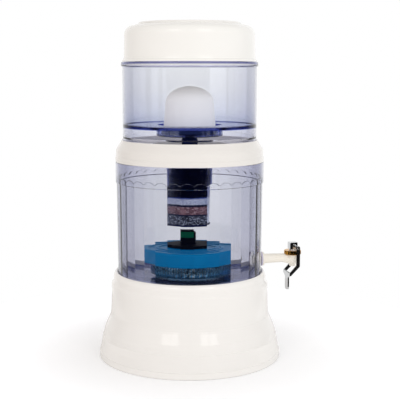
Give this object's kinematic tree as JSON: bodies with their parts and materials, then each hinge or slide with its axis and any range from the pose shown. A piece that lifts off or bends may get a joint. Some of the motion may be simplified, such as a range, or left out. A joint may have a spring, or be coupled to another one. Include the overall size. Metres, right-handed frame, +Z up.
{
  "type": "gravity water filter",
  "caption": "Countertop gravity water filter: clear upper and lower tanks with a ceramic dome and layered cartridge, on a flared base, with a push-lever tap.",
  "frame": {"origin": "centre of the base's foot, on the surface it stands on", "axes": "+Z up along the tanks' common axis, +X towards the tap"},
  "size_m": [0.3407, 0.297, 0.5426],
  "materials": {
    "ivory_base": "gloss",
    "clear_tank": "gloss",
    "case_smoke": "gloss",
    "pebble": "satin",
    "tap_ivory": "gloss",
    "seal_rubber": "matte",
    "nut_white": "satin",
    "tap_chrome": "polished",
    "tap_brass": "polished",
    "spring_steel": "satin",
    "case_lid_blue": "gloss",
    "handle_black": "satin",
    "inlay_green": "gloss",
    "shell_white": "gloss",
    "dome_ceramic": "matte",
    "plate_slate": "satin",
    "cartridge_navy": "gloss",
    "cartridge_clear": "gloss",
    "felt": "matte",
    "carbon": "matte",
    "silica": "matte",
    "mineral": "matte",
    "sand": "matte"
  },
  "bodies": {
    "stand": {"base": "ivory_base", "lower_tank": "clear_tank", "tap_body": "tap_ivory", "tap_outer_washer": "seal_rubber", "tap_inner_washer": "seal_rubber", "tap_lock_nut": "nut_white", "bonnet_nut": "tap_brass", "stem_guide": "nut_white", "yoke_block": "tap_chrome", "valve_spring": "spring_steel"},
    "case": {"stone_case": "case_smoke", "stones": "pebble"},
    "case_lid": {"stone_case_lid": "case_lid_blue", "handle_disc": "handle_black", "handle": "handle_black", "handle_inlay": "inlay_green"},
    "collar": {"collar": "shell_white"},
    "upper": {"upper_tank": "clear_tank", "dome": "dome_ceramic", "dome_plate": "plate_slate", "dome_gasket": "seal_rubber", "dome_nut": "cartridge_navy", "cartridge_head": "cartridge_navy", "cartridge_case": "cartridge_clear", "cartridge_grille": "cartridge_navy", "filter_pads": "felt", "carbon_bed": "carbon", "silica_bed": "silica", "mineral_bed": "mineral", "sand_bed": "sand"},
    "lid": {"lid": "shell_white"},
    "lever": {"lever": "tap_chrome", "lever_pin": "spring_steel", "lever_cam": "spring_steel"},
    "valve": {"valve_stem": "spring_steel", "seat_cup": "seal_rubber"}
  },
  "joints": [
    {"name": "collar_lift", "type": "slide", "parent": "stand", "child": "collar", "axis": [0, 0, 1], "range_m": [0, 0.14]},
    {"name": "upper_lift", "type": "slide", "parent": "collar", "child": "upper", "axis": [0, 0, 1], "range_m": [0, 0.16]},
    {"name": "lid_lift", "type": "slide", "parent": "upper", "child": "lid", "axis": [0, 0, 1], "range_m": [0, 0.1]},
    {"name": "case_lift", "type": "slide", "parent": "stand", "child": "case", "axis": [0, 0, 1], "range_m": [0, 0.01]},
    {"name": "case_lid_turn", "type": "hinge", "parent": "case", "child": "case_lid", "pos_m": [0, 0, 0.174], "axis": [0, 0, 1], "range_deg": [0, 95]},
    {"name": "lever_push", "type": "hinge", "parent": "stand", "child": "lever", "pos_m": [0.1824, 0, 0.171], "axis": [0, 1, 0], "range_deg": [0, 22]},
    {"name": "valve_lift", "type": "slide", "parent": "stand", "child": "valve", "axis": [0, 0, 1], "range_m": [0, 0.002], "stiffness_N_per_m": 80, "springref_m": -0.004, "deforming": ["valve_spring"]}
  ],
  "couplings": [
    {"joint": "valve_lift", "follows": "lever_push", "m_per_rad": 0.0044}
  ]
}
